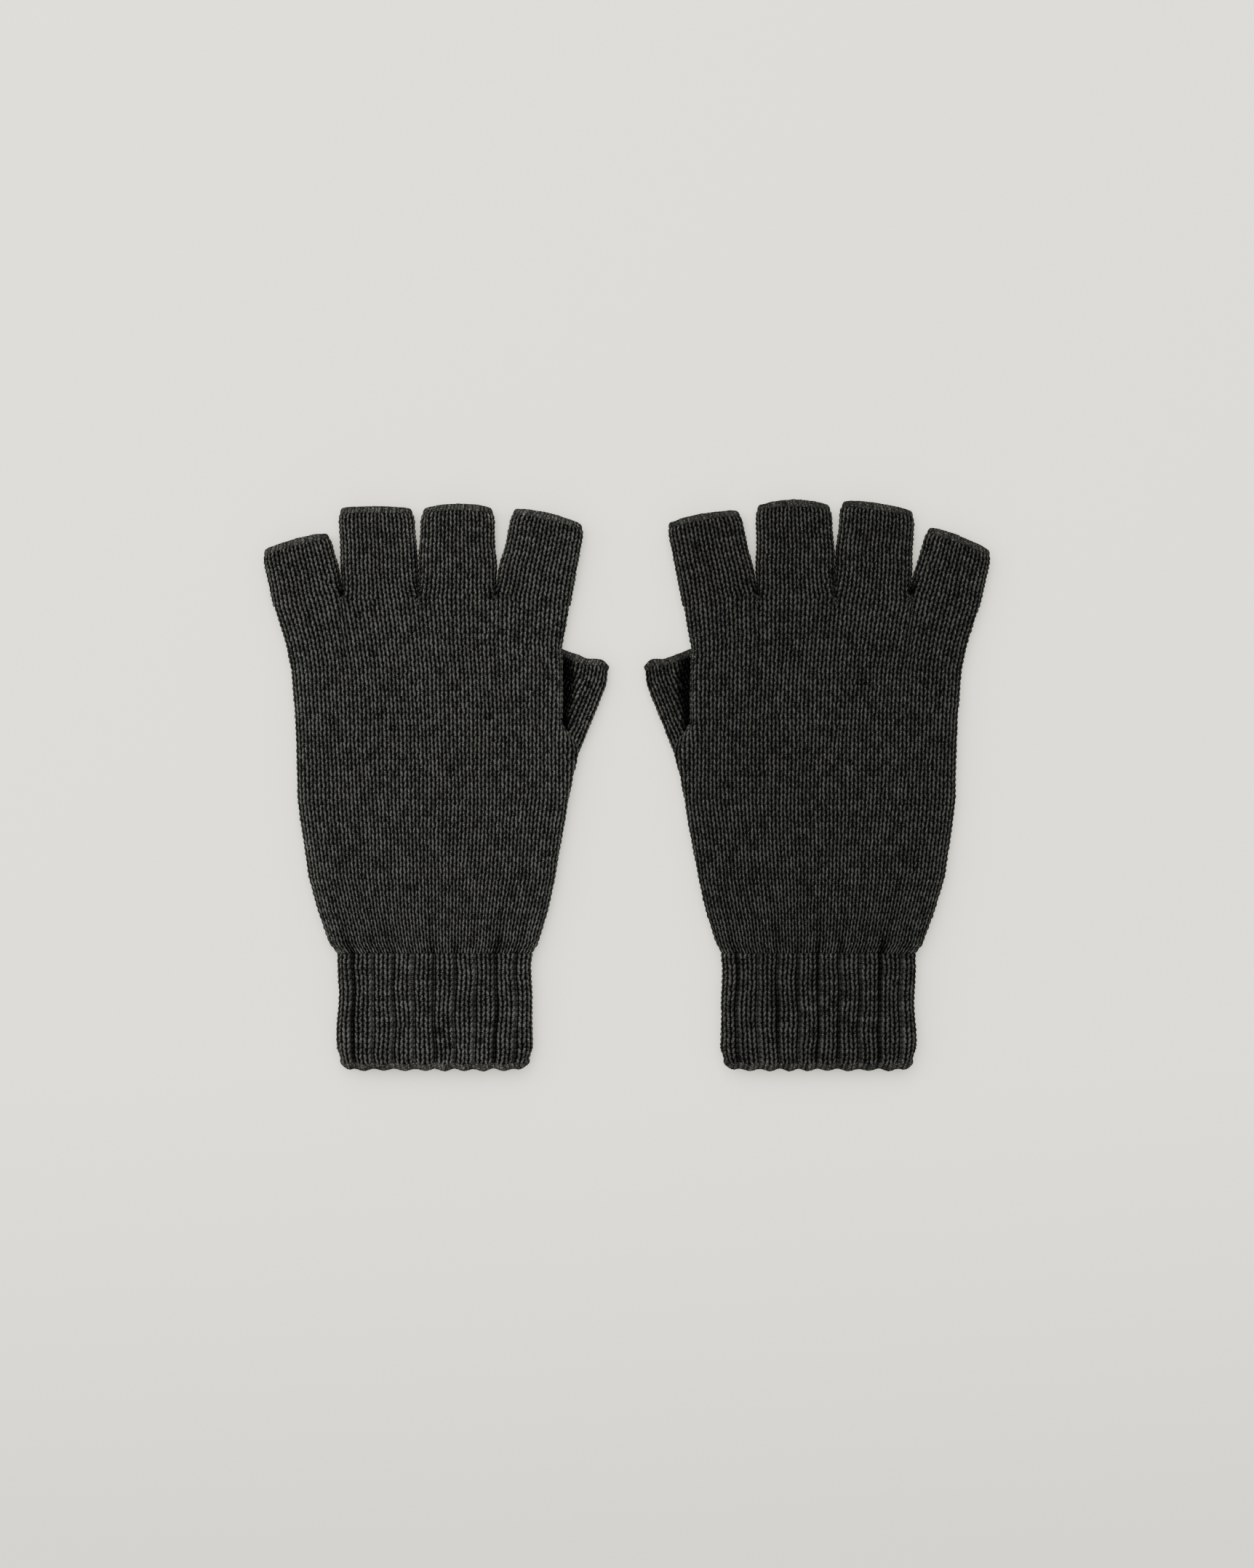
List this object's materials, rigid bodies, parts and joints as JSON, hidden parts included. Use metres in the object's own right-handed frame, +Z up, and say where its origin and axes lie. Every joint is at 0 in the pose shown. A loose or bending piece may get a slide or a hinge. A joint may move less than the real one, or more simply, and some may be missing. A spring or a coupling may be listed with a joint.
{
  "type": "fingerless gloves",
  "caption": "Pair of knitted half-finger gloves lying palm down, with ribbed cuffs, short open finger and thumb tubes and bound-off rims.",
  "frame": {"origin": "middle of the pair's box, on the surface that the gloves lie on", "axes": "+Z up, out of the backs of the hands; +Y from the cuffs toward the fingertips; +X from the left-hand glove to the right-hand glove"},
  "size_m": [0.2584, 0.2018, 0.0098],
  "materials": {
    "plain_knit": "matt charcoal melange wool, plain knit",
    "rib_knit": "matt charcoal melange wool, 2x2 rib",
    "bound_edge": "matt charcoal melange wool, bound-off chain"
  },
  "bodies": {
    "left_hand": {"left_hand": "plain_knit", "left_join_little_ring": "bound_edge", "left_join_ring_middle": "bound_edge", "left_join_middle_index": "bound_edge"},
    "left_cuff": {"left_cuff": "rib_knit", "left_cuff_edge": "bound_edge"},
    "left_index": {"left_index": "plain_knit", "left_index_rim": "bound_edge"},
    "left_little": {"left_little": "plain_knit", "left_little_rim": "bound_edge"},
    "left_middle": {"left_middle": "plain_knit", "left_middle_rim": "bound_edge"},
    "left_ring": {"left_ring": "plain_knit", "left_ring_rim": "bound_edge"},
    "left_thumb": {"left_thumb": "plain_knit", "left_thumb_rim": "bound_edge"},
    "right_cuff": {"right_cuff": "rib_knit", "right_cuff_edge": "bound_edge"},
    "right_hand": {"right_hand": "plain_knit", "right_join_little_ring": "bound_edge", "right_join_ring_middle": "bound_edge", "right_join_middle_index": "bound_edge"},
    "right_index": {"right_index": "plain_knit", "right_index_rim": "bound_edge"},
    "right_little": {"right_little": "plain_knit", "right_little_rim": "bound_edge"},
    "right_middle": {"right_middle": "plain_knit", "right_middle_rim": "bound_edge"},
    "right_ring": {"right_ring": "plain_knit", "right_ring_rim": "bound_edge"},
    "right_thumb": {"right_thumb": "plain_knit", "right_thumb_rim": "bound_edge"}
  },
  "joints": [
    {"name": "left_little_knuckle", "type": "hinge", "parent": "left_hand", "child": "left_little", "pos_m": [-0.11317, 0.0655, 0.0098], "axis": [0.9744, 0.225, 0], "range_deg": [0, 90]},
    {"name": "left_ring_knuckle", "type": "hinge", "parent": "left_hand", "child": "left_ring", "pos_m": [-0.08728, 0.0655, 0.0098], "axis": [0.9976, 0.0698, 0], "range_deg": [0, 90]},
    {"name": "left_middle_knuckle", "type": "hinge", "parent": "left_hand", "child": "left_middle", "pos_m": [-0.06023, 0.0655, 0.0098], "axis": [1, 0, 0], "range_deg": [0, 90]},
    {"name": "left_index_knuckle", "type": "hinge", "parent": "left_hand", "child": "left_index", "pos_m": [-0.03327, 0.0655, 0.0098], "axis": [0.9816, -0.1908, 0], "range_deg": [0, 90]},
    {"name": "left_thumb_swing", "type": "hinge", "parent": "left_hand", "child": "left_thumb", "pos_m": [-0.02998, 0.014, 0], "axis": [0, 0, -1], "range_deg": [-6, 12]},
    {"name": "left_cuff_fold", "type": "hinge", "parent": "left_hand", "child": "left_cuff", "pos_m": [-0.06817, -0.0599, 0.0098], "axis": [-1, 0, 0], "range_deg": [0, 150]},
    {"name": "right_little_knuckle", "type": "hinge", "parent": "right_hand", "child": "right_little", "pos_m": [0.11282, 0.0655, 0.0098], "axis": [0.9681, -0.2504, 0], "range_deg": [0, 90]},
    {"name": "right_ring_knuckle", "type": "hinge", "parent": "right_hand", "child": "right_ring", "pos_m": [0.08693, 0.0655, 0.0098], "axis": [0.9976, -0.0698, 0], "range_deg": [0, 90]},
    {"name": "right_middle_knuckle", "type": "hinge", "parent": "right_hand", "child": "right_middle", "pos_m": [0.05987, 0.0655, 0.0098], "axis": [0.9998, 0.0175, 0], "range_deg": [0, 90]},
    {"name": "right_index_knuckle", "type": "hinge", "parent": "right_hand", "child": "right_index", "pos_m": [0.03293, 0.0655, 0.0098], "axis": [0.9799, 0.1994, 0], "range_deg": [0, 90]},
    {"name": "right_thumb_swing", "type": "hinge", "parent": "right_hand", "child": "right_thumb", "pos_m": [0.02962, 0.014, 0], "axis": [0, 0, 1], "range_deg": [-6, 12]},
    {"name": "right_cuff_fold", "type": "hinge", "parent": "right_hand", "child": "right_cuff", "pos_m": [0.06782, -0.0599, 0.0098], "axis": [-1, 0, 0], "range_deg": [0, 150]},
    {"name": "gloves_apart", "type": "slide", "parent": "left_hand", "child": "right_hand", "axis": [1, 0, 0], "range_m": [0, 0.08]}
  ]
}
